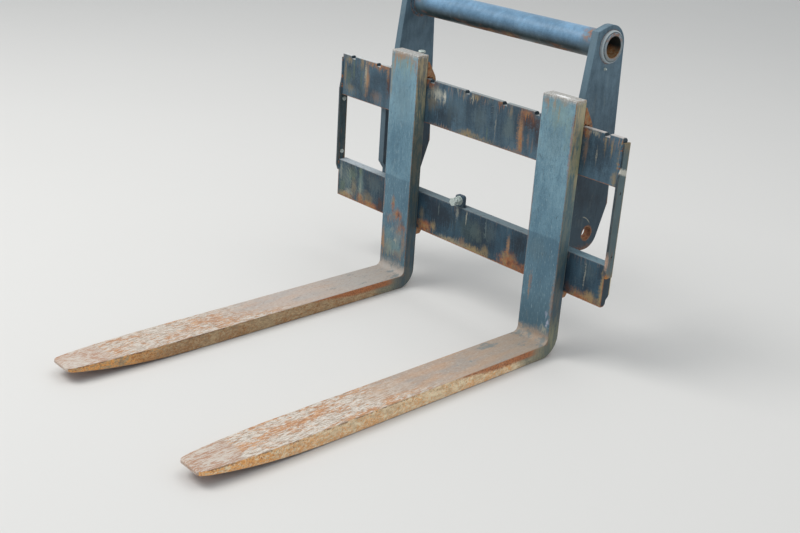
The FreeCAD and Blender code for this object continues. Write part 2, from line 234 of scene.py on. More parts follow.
class Surface(Graph):
    """One material, made in nodes from a piece's own coordinates in metres.

    Colours are tuples picked on screen, settings or fields."""

    def __init__(self, name):
        self.material = bpy.data.materials.new(name)
        super().__init__(self.material)
        self.place = self.node("ShaderNodeTexCoord", output="Object")
        self.x, self.y, self.z = self.split(self.place)
        normal = self.node("ShaderNodeNewGeometry", output="True Normal")
        self.facing_x, self.facing_y, self.facing_z = self.split(normal)

    def split(self, vector):
        return self.outputs(self.node("ShaderNodeSeparateXYZ", values={0: vector}), 0, 1, 2)

    def mix(self, share, under, over):
        return self.node("ShaderNodeMix", {"data_type": "RGBA"},
                         {0: share, 6: linear(under), 7: linear(over)}, output=2)

    def layers(self, colour, *pairs):
        """Lays pairs of a share and a colour over a colour, one after another."""
        for share, over in pairs:
            colour = self.mix(share, colour, over)
        return colour

    def ramp(self, value, *stops):
        """Colours between stops, each a position and a colour."""
        made = self.node("ShaderNodeValToRGB", values={0: value})
        elements = made.socket.node.color_ramp.elements
        while len(elements) < len(stops):
            elements.new(0.5)
        for element, (position, colour) in zip(elements, stops):
            element.position, element.color = position, (*linear(colour), 1.0)
        return made

    def rise(self, value, low, high, full=1.0):
        """0 below low and full above high, with a soft turn; low above high falls instead."""
        return self.node("ShaderNodeMapRange", {"interpolation_type": "SMOOTHSTEP"},
                         {0: value, 1: low, 2: high, 3: 0.0, 4: full})

    def within(self, value, low, high, soft):
        """1 between low and high."""
        return self.rise(abs(value - (low + high) / 2), (high - low) / 2 + soft, (high - low) / 2 - soft)

    def clouds(self, size, seed=0.0, stretch=(1, 1, 1), detail=4.0, roughness=0.55, turn=None):
        """Soft pattern from 0 to 1; stretch draws it out along an axis, turn leans it first."""
        place = self.place
        if turn is not None:
            place = self.node("ShaderNodeMapping", {}, {"Vector": place, "Rotation": turn})
        where = self.node("ShaderNodeMapping", {}, {
            "Vector": place, "Location": (seed, seed * 1.7, seed * 2.3),
            "Scale": [1.0 / (size * s) for s in stretch]})
        return self.node("ShaderNodeTexNoise", {}, {
            "Vector": where, "Scale": 1.0, "Detail": detail, "Roughness": roughness})

    def stain(self, flat, centre, reach, rim, full=1.0):
        """Round or drawn-out stain on a flat place, torn into specks at its rim."""
        off = self.node("ShaderNodeMapping", {}, {
            "Vector": flat, "Location": (-centre[0] / reach[0], -centre[1] / reach[1], 0.0),
            "Scale": (1 / reach[0], 1 / reach[1], 0.0)})
        far = self.node("ShaderNodeVectorMath", {"operation": "LENGTH"}, {0: off}, output=1)
        return self.rise(rim - far, 0.0, 0.85, full)

    def flat(self, u, v, fine, runs):
        """Place on a face, pushed about a little so that stains run and tear."""
        return self.node("ShaderNodeCombineXYZ", {}, {
            0: u + (fine - 0.5) * 0.016, 1: v + (runs - 0.5) * 0.06 + (fine - 0.5) * 0.02})

    def front(self, full=0.8):
        """1 on faces that look to the fork tips."""
        return self.rise(-self.facing_y, 0.5, full)

    def from_axis(self, axis):
        """Distance from one of the axes named above."""
        return ((self.y - BAR_FACE - axis[0]) ** 2.0 + (self.z - axis[1]) ** 2.0) ** 0.5

    def shade(self, colour, roughness, height=None, depth=0.001, metallic=0.0):
        """Ends the material: paint of one colour and roughness, with a height that bumps it."""
        values = {"Base Color": colour, "Roughness": roughness, "Metallic": metallic,
                  "Specular IOR Level": GLOSS}
        if height is not None:
            values["Normal"] = self.node("ShaderNodeBump", {}, {"Height": height, "Distance": depth})
        paint = self.node("ShaderNodeBsdfPrincipled", {}, values)
        self.node("ShaderNodeOutputMaterial", {}, {"Surface": paint})
        return self.material


def edge_gap(s, low, high):
    """Distance from the nearest edge of a box, for a point on one of its faces."""
    a, b, c = [(top - bottom) / 2 - abs(value - (bottom + top) / 2)
               for value, bottom, top in zip((s.x, s.y, s.z), low, high)]
    return a.least(b).most(a.most(b).least(c))


def rust_colour(s, seed, size):
    """Dry rust: brown and orange, with ochre dust on the high spots."""
    rust = settings("fork_rust")
    blotch = s.clouds(size, seed, detail=6.0, roughness=0.68)
    return s.ramp(blotch, (0.32, rust.brown), (0.50, rust.orange), (0.66, rust.ochre))


def fine_grain(s):
    return s.clouds(0.005, 6.0, detail=6.0, roughness=0.72)


def break_up(s, down=10.0):
    """Grain that tears the rim of a stain into specks and short runs, with its two parts."""
    fine = fine_grain(s)
    runs = s.clouds(0.0035, 8.0, (1, 1, down), 3.0)
    return fine * 0.42 + runs * 0.33 + s.clouds(0.016, 10.0, detail=4.0, roughness=0.65) * 0.25, fine, runs


def weathered(s, dark, light, seed, down=12.0):
    """Chalked paint: cloudy, with dusty runs down the sides, scuffs and fine grain."""
    cloud = s.clouds(0.15, seed, detail=6.0, roughness=0.6)
    runs = s.clouds(0.014, seed + 3, (1, 1, down))
    grain = s.clouds(0.0022, seed + 5, detail=3.0)
    level = cloud * 0.5 + runs * 0.22 + grain * 0.28
    dust = s.rise(s.clouds(0.03, seed + 9, (1, 1, 2.5), 6.0, 0.7), 0.54, 0.74)
    specks = s.rise(s.clouds(0.0042, seed + 12, detail=2.0), 0.74, 0.80)
    return s.layers(s.mix(s.rise(level, 0.38, 0.62), dark, light),
                    (dust * 0.22, (128, 134, 124)), (specks * 0.5, (168, 172, 168))), grain


def scratches(s, colour, tint, amount, seed):
    """Thin scratches in two leaning directions."""
    for lean, shift in ((0.45, 0.0), (-1.1, 7.0)):
        line = s.clouds(0.0016, seed + shift, (1, 30, 30), 1.0, turn=(0.0, lean, lean * 0.4))
        here = s.rise(s.clouds(0.09, seed + shift + 1, detail=2.0), 0.56, 0.66)
        colour = s.mix(s.rise(line, 0.72, 0.78) * here * amount, colour, tint)
    return colour


def dress(node, material):
    """Gives a node of the frame its finish."""
    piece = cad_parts[node]
    piece.data.materials.clear()
    piece.data.materials.append(material)


# Marks on the front faces of the bars: x and z from the bars' middle and the
# ground, half width, half height, kind, strength. All in millimetres.
UPPER_BAR_MARKS = (
    (-472, 650, 17, 74, "tan", 0.9), (-478, 664, 8, 60, "cream", 0.75), (-415, 709, 80, 17, "tan", 0.9),
    (-400, 712, 60, 10, "orange", 0.9), (-364, 656, 14, 66, "maroon", 0.9), (-368, 690, 9, 34, "tan", 0.8),
    (-420, 664, 40, 44, "shade", 0.35), (-545, 650, 60, 74, "shade", 0.5),
    (-530, 616, 60, 44, "shade", 0.35), (-566, 700, 24, 16, "ochre", 0.6),
    (-566, 640, 20, 40, "green", 0.4), (-500, 700, 14, 40, "ochre", 0.45), (-500, 640, 8, 60, "green", 0.4),
    (-166, 704, 38, 20, "orange", 0.85), (-136, 678, 50, 30, "cream", 0.5),
    (-97, 670, 8, 34, "chalk_white", 0.85), (-118, 664, 10, 36, "cream", 0.35),
    (-150, 646, 36, 34, "ochre", 0.4), (-90, 606, 74, 54, "shade", 0.75),
    (-110, 640, 60, 46, "shade", 0.35), (-40, 640, 60, 60, "chalk", 0.2), (-586, 650, 9, 70, "ochre", 0.45),
    (-556, 600, 36, 26, "ochre", 0.35), (-540, 680, 6, 60, "green", 0.5), (-420, 600, 40, 30, "tan", 0.3),
    (-70, 640, 16, 70, "chalk", 0.25), (-41, 705, 6, 14, "cream", 0.5), (-12, 700, 10, 16, "ochre", 0.5),
    (38, 702, 20, 12, "ochre", 0.7), (24, 698, 9, 14, "cream", 0.7), (98, 706, 14, 10, "chalk", 0.6),
    (120, 680, 8, 36, "chalk", 0.3), (148, 711, 22, 8, "orange", 0.95), (60, 640, 44, 60, "chalk", 0.34),
    (186, 690, 10, 26, "ochre", 0.4), (182, 640, 30, 64, "chalk", 0.62), (229, 634, 17, 96, "tan", 0.95),
    (234, 606, 8, 54, "orange", 0.9), (262, 684, 50, 40, "maroon", 0.9), (250, 700, 34, 18, "orange", 0.75),
    (298, 640, 14, 70, "maroon", 0.6), (-58, 636, 58, 56, "shade", 0.35), (262, 620, 7, 40, "tan", 0.35),
    (290, 640, 34, 60, "shade", 0.45), (280, 606, 5, 34, "tan", 0.3), (14, 586, 36, 15, "ochre", 0.6),
    (70, 580, 96, 10, "ochre", 0.5), (96, 600, 4, 34, "green", 0.6),
    (-128, 672, 30, 22, "chalk_white", 0.35), (128, 640, 3, 60, "cream", 0.35),
    (0, 574, 60, 9, "ochre", 0.7), (-110, 574, 80, 7, "tan", 0.6), (200, 574, 100, 7, "tan", 0.6),
    (472, 702, 22, 24, "orange", 0.9), (478, 650, 12, 60, "tan", 0.45), (543, 686, 6, 30, "ochre", 0.7),
    (567, 676, 5, 34, "ochre", 0.65), (598, 650, 9, 80, "ochre", 0.7), (500, 709, 30, 8, "cream", 0.6),
    (530, 650, 56, 74, "shade", 0.5), (586, 594, 16, 24, "ochre", 0.6), (518, 640, 3, 40, "cream", 0.5),
)
LOWER_BAR_MARKS = (
    (-556, 284, 44, 62, "chalk", 0.8), (-520, 300, 30, 40, "green", 0.5), (-574, 246, 24, 44, "green", 0.5),
    (-512, 256, 26, 44, "ochre", 0.42), (-586, 300, 10, 44, "cream", 0.35),
    (-535, 270, 14, 44, "sage", 0.25), (-476, 280, 20, 74, "sage", 0.42), (-478, 262, 6, 40, "cream", 0.35),
    (-479, 326, 15, 20, "green", 0.8), (-560, 214, 50, 20, "ochre", 0.95),
    (-540, 230, 30, 22, "cream", 0.5), (-425, 212, 66, 24, "orange", 0.95),
    (-476, 222, 24, 30, "orange", 0.85), (-535, 218, 44, 12, "orange", 0.6),
    (-372, 224, 22, 44, "maroon", 0.9), (-440, 240, 50, 30, "ochre", 0.4),
    (-410, 296, 60, 46, "chalk", 0.45), (-146, 224, 54, 32, "orange", 0.95),
    (-105, 236, 18, 28, "ochre", 0.75), (-162, 262, 16, 34, "ochre", 0.4),
    (-20, 209, 74, 20, "ochre", 0.75), (30, 224, 20, 20, "tan", 0.5), (0, 214, 150, 12, "cream", 0.3),
    (80, 210, 70, 24, "ochre", 0.9), (132, 226, 24, 26, "ochre", 0.6), (228, 268, 10, 54, "tan", 0.95),
    (236, 218, 66, 42, "orange", 0.95), (250, 236, 34, 36, "maroon", 0.5),
    (238, 232, 46, 40, "orange", 0.6), (298, 216, 30, 28, "orange", 0.8), (528, 208, 82, 34, "orange", 0.9),
    (474, 220, 16, 36, "maroon", 0.9), (560, 222, 36, 30, "ochre", 0.7), (597, 262, 13, 84, "ochre", 0.85),
    (0, 312, 9, 36, "cream", 0.55), (42, 318, 4, 28, "cream", 0.7), (128, 306, 6, 44, "chalk", 0.7),
    (-20, 270, 5, 40, "chalk", 0.4), (532, 286, 3.0, 60, "cream", 0.6), (90, 280, 40, 50, "chalk", 0.3),
    (540, 300, 40, 40, "chalk", 0.25), (-84, 292, 104, 60, "shade", 0.95), (-70, 274, 70, 40, "shade", 0.6),
    (-150, 330, 34, 34, "shade", 0.7), (-84, 300, 3, 34, "chalk", 0.6), (150, 292, 36, 44, "chalk", 0.3),
    (60, 270, 90, 60, "green", 0.16), (270, 296, 44, 50, "shade", 0.95), (266, 270, 34, 30, "shade", 0.4),
)

# Marks on the front of the shanks, with x from the fork's middle.
SHANK_MARKS = {
    "fork_right": (
        (-34, 205, 4, 60, "tan", 0.7), (-28, 222, 2.6, 50, "orange", 0.5), (4, 587, 14, 2.6, "dark", 0.8),
        (-48, 608, 14, 2.4, "dark", 0.7), (40, 451, 9, 2.4, "dark", 0.7), (57, 190, 7, 90, "tan", 0.5),
        (-16, 764, 7, 34, "tan", 0.7), (-48, 772, 12, 22, "tan", 0.5), (20, 776, 20, 14, "tan", 0.5),
        (40, 88, 22, 16, "cream", 0.7), (52, 112, 8, 14, "lilac", 0.8), (44, 140, 6, 12, "lilac", 0.5),
        (59, 640, 5, 90, "orange", 0.5), (12, 322, 16, 3, "dark", 0.5), (-20, 330, 50, 60, "chalk", 0.25),
        (0, 660, 60, 90, "chalk", 0.25), (-59, 430, 4, 130, "orange", 0.4), (6, 742, 76, 62, "sage", 0.42),
        (44, 690, 16, 70, "sage", 0.35), (-40, 760, 6, 40, "tan", 0.6), (4, 752, 4, 30, "ochre", 0.5),
        (57, 700, 5, 60, "orange", 0.5),
    ),
    "fork_left": (
        (-12, 278, 14, 40, "orange", 0.75), (14, 248, 26, 28, "orange", 0.9),
        (38, 218, 17, 26, "maroon", 0.5), (-52, 136, 13, 74, "tan", 0.9), (20, 168, 40, 40, "cream", 0.25),
        (-10, 190, 12, 10, "cream", 0.4), (52, 752, 10, 44, "orange", 0.5), (-22, 772, 34, 18, "tan", 0.6),
        (-56, 700, 7, 90, "ochre", 0.5), (-58, 300, 5, 80, "orange", 0.5), (-26, 116, 36, 44, "ochre", 0.4),
        (18, 104, 40, 26, "tan", 0.4), (46, 150, 15, 62, "tan", 0.5), (0, 128, 58, 36, "sage", 0.45),
        (38, 204, 32, 22, "orange", 0.6), (-24, 226, 32, 18, "orange", 0.45), (8, 156, 12, 8, "cream", 0.7),
        (-30, 168, 30, 30, "sage", 0.3), (0, 640, 60, 100, "chalk", 0.25), (20, 205, 34, 40, "tan", 0.22),
        (0, 752, 74, 50, "sage", 0.4), (-6, 780, 62, 20, "tan", 0.75), (-44, 758, 7, 34, "tan", 0.6),
        (14, 764, 5, 30, "ochre", 0.6), (30, 752, 5, 40, "ochre", 0.5), (-20, 756, 5, 30, "ochre", 0.5),
    ),
}


def mark_tones(s):
    """Colours that the marks on the bars and forks refer to. The shade kind is painted shade."""
    rust = settings("fork_rust")
    maroon = s.ramp(s.clouds(0.02, 3, (1, 1, 4), 5.0), (0.35, rust.maroon), (0.65, rust.brown))
    return {"maroon": maroon, "orange": rust_colour(s, 4.0, 0.02), "ochre": rust.ochre, "tan": rust.run,
            "cream": rust.cream, "chalk": (90, 106, 108), "chalk_white": (204, 202, 188),
            "green": (92, 108, 88), "sage": (128, 150, 142), "lilac": (176, 178, 196),
            # shade: painted shade
            "shade": (26, 40, 52), "dark": (44, 50, 54)}


def marked(s, clean, u, marks, torn, facing):
    """Lays stains, and patches of painted shade, on a surface and says where they are rusty."""
    tears, fine, runs = torn
    tones, rusty, colour = mark_tones(s), None, clean
    flat, rim = s.flat(u, s.z, fine, runs), 1.0 + (tears - 0.5) * 3.2
    for x, z, wide, tall, kind, strength in marks:
        mask = s.stain(flat, (x / 1000, z / 1000), (wide / 1000, tall / 1000), rim, strength)
        colour = s.mix(mask, colour, tones[kind])
        if kind in ("orange", "tan", "maroon"):
            rusty = mask if rusty is None else rusty.most(mask)
    return s.mix(facing, clean, colour), rusty * facing


def bar_surface(node, marks, dark, light, foot_height, top_tones, drip_share, scuff_share):
    """Carriage bar: slate paint with dusty runs, rubs from the hooks, rusted edges, end faces darkened as
    painted shade, and a rubbed top with painted light and shade.
    """
    rust = settings("fork_rust")
    s = Surface(node + "_paint")
    low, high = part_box(node)
    colour, grain = weathered(s, dark, light, low.z * 10)
    tears, fine, runs = break_up(s)
    front = s.front()
    ends = s.rise(abs(s.facing_x), 0.5, 0.8)

    # Rubs and drips
    rubs = s.rise(s.clouds(0.0024, 8, (40, 1, 1), 2.0), 0.62, 0.76)
    hang = s.rise(s.z, high.z - 0.075, high.z)
    uneven = (s.clouds(0.08, 15, detail=3.0) - 0.5) * 0.3
    drips = s.rise(runs + hang * 0.14 + uneven, 0.68, 0.80, drip_share) * hang
    colour = s.layers(colour, (rubs * 0.16, (120, 134, 138)), (drips * front, rust.run))
    towards_left = s.rise(s.x, -0.42, -0.48) * 0.4
    colour = scratches(s, colour, (154, 160, 158), 0.5 + towards_left, low.z * 8)
    scuffs = s.clouds(0.0026, 51, (1, 14, 14), 4.0, 0.7, (0.0, 0.75, 0.0))
    scuffs = s.rise(scuffs, 0.53, 0.66) * s.rise(s.x + (tears - 0.5) * 0.2, -0.44, -0.50) * front
    colour, rusty = marked(s, colour, s.x, marks, (tears, fine, runs), front)

    # Rusted foot, end faces darkened as painted shade, and worn edges
    foot = s.rise(s.z - low.z + (tears - 0.5) * foot_height * 3.0, foot_height, foot_height * 0.2)
    worn = s.rise(edge_gap(s, low, high) + (fine - 0.5) * 0.011, 0.0036, 0.0004)
    upper_edge = s.rise(s.z, high.z - 0.012, high.z - 0.006) * s.rise(tears, 0.62, 0.50)
    rear = s.rise(s.y + (fine - 0.5) * 0.004, high.y - 0.0045, high.y - 0.0025) * ends
    colour = s.layers(
        colour,
        (scuffs * scuff_share, (142, 152, 132)),
        (foot * 0.8, rust_colour(s, 4.0, 0.016)),
        # End faces: painted shade
        (ends * 0.7, (38, 52, 60)),
        (worn * 0.65, s.mix(upper_edge * 0.85, rust_colour(s, 9.0, 0.012), (112, 126, 130))),
        (rear * 0.8, s.mix(s.rise(tears, 0.45, 0.6), (206, 196, 162), rust.ochre)))

    # Top, in three stretches: rubbed paint, lighter outside the forks and darker between them as painted
    # light and shade
    left, middle, right = top_tones
    along = s.x + (s.clouds(0.03, 27, detail=3.0) - 0.5) * 0.12
    tone = s.mix(s.rise(along, -0.30, -0.46), s.mix(s.rise(along, 0.40, 0.47), middle, right), left)
    kept = s.rise(s.clouds(0.009, 28, (2.5, 1, 1), 6.0, 0.7), 0.52, 0.68)
    colour = s.mix(s.rise(s.facing_z, 0.5, 0.9) * 0.9, colour, s.mix(kept * 0.55, tone, dark))
    rusty = rusty.most(foot)
    height = grain * 0.3 + fine * 0.2 + rusty * fine * 1.6
    return s.shade(colour, 0.46 + fine * 0.14 + rusty * 0.3, height, 0.0008)


def ear_surface():
    """Hitch plate: smooth slate paint, darker below as painted shade, front edge paler as painted light,
    rust at the lock bore.
    """
    s = Surface("hitch_plate_paint")
    fine = fine_grain(s)
    # Painted shade: the plates darken towards the bottom.
    lit = s.rise(s.z + (s.clouds(0.2, 4, detail=3.0) - 0.5) * 0.1, 0.50, 0.78)
    dark, light = s.mix(lit, (22, 40, 54), (58, 82, 97)), s.mix(lit, (45, 68, 82), (98, 124, 140))
    colour, grain = weathered(s, dark, light, 11, 5.0)
    y = s.y - BAR_FACE
    # Painted light: the front edge is painted paler.
    colour = s.mix(s.front(0.9) * 0.5, colour, (98, 120, 132))
    colour = scratches(s, colour, (140, 150, 152), 0.6, 5.0)
    arc = abs(s.from_axis((0.10, 0.34)) - 0.066)
    scuff = s.rise(arc + (fine - 0.5) * 0.004, 0.0022, 0.0006)
    scuff = scuff * s.rise(s.z, 0.372, 0.388) * s.rise(y, 0.115, 0.125)
    lock = s.rise(abs(s.from_axis(LOCK_AXIS) - LOCK_RADIUS) + (fine - 0.5) * 0.016, 0.007, 0.0)
    head = s.rise(abs(s.from_axis(TUBE_AXIS) - COLLAR_RADIUS) + (fine - 0.5) * 0.016, 0.0045, 0.0)
    back = s.rise(y + (fine - 0.5) * 0.02, 0.222, 0.232) * s.within(s.z, 0.405, 0.455, 0.01)
    foot = s.rise(s.z + (fine - 0.5) * 0.06, 0.316, 0.292)
    rusty = lock.most(head * 0.6).most(foot * 0.6).most(back * 0.8)
    colour = s.layers(colour, (scuff * 0.7, settings("fork_rust").cream),
                      (rusty * 0.85, rust_colour(s, 5.0, 0.010)))
    return s.shade(colour, 0.42 + grain * 0.12 + rusty * 0.35, grain * 0.3 + rusty * fine * 1.5, 0.0006)


def tube_surface():
    """Cross tube: glossier slate, lighter on top and darker below as painted light and shade, rusty at the
    welds and inside, dark at the top of the bore as painted shade, pale at its ends.
    """
    s = Surface("cross_tube_paint")
    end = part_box("hitch_tube")[1].x
    tears, fine, _ = break_up(s, 1.0)
    # Painted light and shade: the paint is lighter and bluer on top, darker below.
    upper = s.rise(s.z + (fine - 0.5) * 0.012, 0.893, 0.938)
    dark, light = s.mix(upper, (26, 36, 38), (84, 119, 146)), s.mix(upper, (46, 60, 62), (119, 158, 190))
    colour, grain = weathered(s, dark, light, 17, 1.5)
    inside = s.rise(s.from_axis(TUBE_AXIS), 0.0335, 0.0318)
    side = abs(s.x)
    at_ear = s.rise(abs(side - 0.383) + (fine - 0.5) * 0.05, 0.016, -0.004)
    at_end = s.rise(side + (fine - 0.5) * 0.004, end - 0.003, end + 0.001)
    under = s.clouds(0.06, 5, (2.5, 1, 1), 5.0)
    under = s.rise(s.z + (under - 0.5) * 0.05, 0.898, 0.880)
    under = under * s.rise(s.clouds(0.03, 6, (3, 1, 1), 5.0), 0.46, 0.60) * 0.75
    sheltered = s.rise(side, 0.315, 0.345)
    patches = s.rise(s.clouds(0.018, 12, detail=6.0, roughness=0.7), 0.45, 0.55)
    patches = patches * sheltered * s.rise(s.z, 0.915, 0.945)
    rusty = (at_ear * 0.75).most(at_end * 0.15).most(under).most(patches * 0.8)
    colour = scratches(s, colour, (170, 182, 188), 0.5, 3.0)
    deep = s.rise(end - side + (fine - 0.5) * 0.03, 0.006, 0.040)
    floor = s.rise(s.z + (tears - 0.5) * 0.05, 0.918, 0.896)
    floor_tone = s.mix(s.rise(fine, 0.42, 0.60), (200, 128, 70), (222, 192, 150))
    colour = s.layers(
        colour,
        (sheltered * 0.55, (80, 100, 110)),
        (at_end * 0.6, (166, 180, 184)),
        (rusty * 0.92, rust_colour(s, 8.0, 0.014)),
        # Inside the bore: dark above as painted shade, rust on its floor.
        (inside, s.mix(floor * (0.4 + deep * 0.6), (36, 42, 42), floor_tone)))
    return s.shade(colour, 0.32 + grain * 0.12 + rusty * 0.5, grain * 0.25 + rusty * fine * 1.5, 0.0006)


def collar_surface():
    """Collar ring: painted as the tube, with a painted highlight round its outer face."""
    s = Surface("collar_paint")
    tears, fine, _ = break_up(s, 1.0)
    colour, grain = weathered(s, (52, 68, 76), (88, 106, 114), 19, 1.5)
    radius = s.from_axis(TUBE_AXIS)
    # Painted highlight round the outer face.
    rim = s.within(radius + (fine - 0.5) * 0.004, 0.0435, 0.0485, 0.001)
    rusty = s.rise(tears + s.rise(radius, 0.045, 0.040) * 0.06, 0.57, 0.68)
    colour = s.layers(colour, (rim * 0.8, (182, 192, 196)), (rusty * 0.6, rust_colour(s, 2.0, 0.008)))
    return s.shade(colour, 0.42 + rusty * 0.4, grain * 0.3 + rusty * fine * 1.5, 0.0006)


def end_plate_surface(side, sign):
    """End plate: chalky strip with ochre rims and drips; the right one has a rubbed band."""
    rust = settings("fork_rust")
    s = Surface("end_plate_paint_" + side)
    tears, fine, runs = break_up(s, 16.0)
    colour, grain = weathered(s, (40, 56, 62), (78, 98, 104), 7)
    y = s.y - BAR_FACE
    outward = s.facing_x if sign > 0 else -s.facing_x
    strip = s.front()
    rear = s.rise(y + (fine - 0.5) * 0.012, 0.021, 0.027)
    torn_z = s.z + (tears - 0.5) * 0.12
    ochre = s.rise(torn_z, 0.655, 0.705).most(s.rise(torn_z, 0.325, 0.290))
    drip = s.rise(runs + s.rise(s.z, 0.50, 0.34) * 0.08, 0.62, 0.72)
    worn = s.rise(edge_gap(s, *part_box("end_plate_" + side)) + (fine - 0.5) * 0.008, 0.0022, 0.0)
    worn_tone = s.mix(s.rise(tears, 0.45, 0.6), rust.ochre, rust_colour(s, 3.0, 0.012))
    colour = s.layers(
        colour,
        (s.rise(outward, 0.4, 0.8) * 0.35, (112, 134, 138)),
        (ochre * 0.6, rust.ochre),
        (drip * 0.5, rust_colour(s, 2.0, 0.012)),
        (worn * (0.6 - strip * 0.3), worn_tone),
        (strip * 0.85, s.mix(s.rise(tears, 0.44, 0.58), (36, 48, 56), (64, 78, 86))),
        (rear * 0.7, rust.ochre))
    rusty = worn.most(drip * 0.6)
    if side == "right":
        band = s.within(s.z + y * 0.35 + (fine - 0.5) * 0.014, 0.612, 0.628, 0.004)
        place, rim = s.flat(y, s.z, fine, runs), 1.0 + (tears - 0.5) * 2.6
        spot = s.stain(place, (0.0, 0.303), (0.016, 0.010), rim)
        colour = s.layers(
            colour,
            (band * 0.85, (204, 202, 190)),
            (s.stain(place, (-0.006, 0.350), (0.009, 0.036), rim) * 0.8, (188, 158, 140)),
            (spot * 0.9, (198, 132, 62)))
        rusty = rusty.most(spot)
    return s.shade(colour, 0.48 + grain * 0.1 + rusty * 0.3, grain * 0.3 + rusty * fine * 1.5, 0.0006)


def lug_surface():
    """Lug of the stop screw: dark paint, a little worn at its edges."""
    paint = settings("fork_paint")
    s = Surface("stop_lug_paint")
    colour, grain = weathered(s, paint.shade_dark, paint.slate_light, 7)
    worn = s.rise(edge_gap(s, *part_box("stop_lug")) + (fine_grain(s) - 0.5) * 0.008, 0.0020, 0.0)
    return s.shade(s.mix(worn * 0.3, colour, (92, 82, 72)), 0.46 + worn * 0.2, grain * 0.5, 0.0004)


def flank_paint(s, node, y, broad, fine):
    """Sides of a shank: dark below, blotched with ochre and blue-grey above; the far arm's darker tones and
    dark middle band are painted shade.
    """
    near = node == "fork_right"
    climb = s.rise(s.z + (broad - 0.5) * 0.2, 0.08, 0.62)
    upper = s.rise(s.z + (broad - 0.5) * 0.3, 0.46, 0.68)
    crown = s.rise(s.z + (broad - 0.5) * 0.16, 0.60, 0.77)
    blotch = s.clouds(0.016, ARMS[node] * 7, (1, 1, 3.5), 8.0, 0.74)
    runs = s.clouds(0.006, ARMS[node] * 11, (1, 1, 16), 5.0)
    colour = s.layers(s.mix(climb, (45, 62, 74), (97, 122, 122) if near else (90, 114, 112)),
                      (s.rise(blotch, 0.56, 0.38) * 0.55, (66, 92, 106)))
    if near:
        toward_back = s.rise(y, -0.040, -0.008) * 0.16
        dusty = upper * s.rise(blotch + toward_back, 0.48, 0.66)
        colour = s.mix(dusty * 0.8, colour, (142, 149, 122))
    rearward = s.rise(y + (fine - 0.5) * 0.016, -0.022, -0.004)
    colour = s.mix(rearward * upper * (0.6 if near else 0.2), colour, (162, 165, 116))
    if near:
        heel = s.rise(s.z + (broad - 0.5) * 0.08, 0.17, 0.05)
        colour = s.mix(heel * (0.35 + s.rise(blotch, 0.44, 0.60) * 0.45), colour, (134, 136, 108))
    colour = s.layers(
        colour,
        # The far arm's crown tone is darker: painted shade.
        (crown * (0.35 + s.rise(blotch, 0.40, 0.60) * 0.45), (172, 157, 130) if near else (136, 110, 88)),
        (s.rise(blotch + runs * 0.6, 0.72, 0.92) * (0.12 + upper * 0.68), (188, 171, 132)),
        (s.rise(runs, 0.56, 0.66) * (0.11 + upper * 0.49), (140, 102, 68)))
    # A dark middle band on the far arm's sides, blotched brown: painted shade with rust.
    if not near:
        middle = s.within(s.z + (broad - 0.5) * 0.1, 0.34, 0.57, 0.08)
        colour = s.mix(middle * 0.82, colour, s.mix(s.rise(blotch, 0.44, 0.58), (38, 50, 44), (76, 68, 50)))
    return s.mix(s.rise(fine, 0.62, 0.72) * 0.4, colour, (70, 62, 54))


def blade_top(s, node, along, broad):
    """Top of a blade: rubbed tan, then streaked scale, then a paler tip."""
    rust = settings("fork_rust")
    far = node == "fork_left"
    tint = s.clouds(0.030, 25, (1, 5, 1), 6.0, 0.62)
    grit = s.clouds(0.0045, 29, (1, 2.5, 1), 5.0, 0.75)
    kept = s.clouds(0.035, 15, (1, 2.2, 1), 6.0, 0.7) + s.rise(along, 0.85, 1.2) * 0.07
    colour = s.layers(s.mix(s.rise(tint, 0.36, 0.64), (178, 151, 129), (160, 151, 143)),
                      (s.rise(broad, 0.56, 0.42) * 0.4, rust.tan))
    if far:
        colour = s.mix(s.rise(along, 0.90, 1.10) * 0.25 + 0.35, colour, (186, 184, 184))
    colour = s.layers(
        colour,
        (s.rise(grit, 0.54, 0.66) * 0.5, (148, 112, 86)),
        (s.rise(grit, 0.46, 0.34) * 0.45, (204, 194, 182)),
        (s.rise(along, 0.80, 1.15) * 0.4, (138, 132, 120)),
        (s.rise(kept, 0.60, 0.70) * 0.65 * s.rise(along, 0.6, 0.9), (104, 120, 124)))

    # Scale, with bare orange steel between the flakes
    flakes = s.clouds(0.0032, 19, (1, 7, 1), 7.0, 0.78)
    flecks = s.clouds(0.0060, 33, (1, 4, 1), 8.0, 0.80)
    zones = s.clouds(0.045, 41, (1, 3, 1), 3.0, 0.6)
    bare = s.rise(flecks + (zones - 0.5) * 0.42, 0.49, 0.56)
    scale = s.layers(
        s.mix(s.rise(flakes, 0.42, 0.54), (158, 140, 122), rust.pale),
        (bare * 0.90, s.mix(s.rise(flakes, 0.44, 0.60), (166, 110, 66), (207, 158, 112))),
        (s.rise(grit, 0.58, 0.67) * 0.55, (124, 104, 86)))
    if far:
        scale = s.mix(0.12, scale, (132, 104, 84))
    near_end = s.rise(along + (broad - 0.5) * 0.10, 0.10, 0.15)
    by_edge = s.rise(s.x - ARMS[node], 0.015, 0.050)
    scaly = near_end * s.rise(along + (broad - 0.5) * 0.25 - by_edge * 0.14, 0.76, 0.44)
    end = s.mix(s.rise(flakes + (zones - 0.5) * 0.3, 0.44, 0.56), (166, 124, 98), (200, 192, 182))
    return s.layers(colour, (scaly * 0.92, scale), ((1.0 - near_end) * 0.85, end)), flakes, scaly


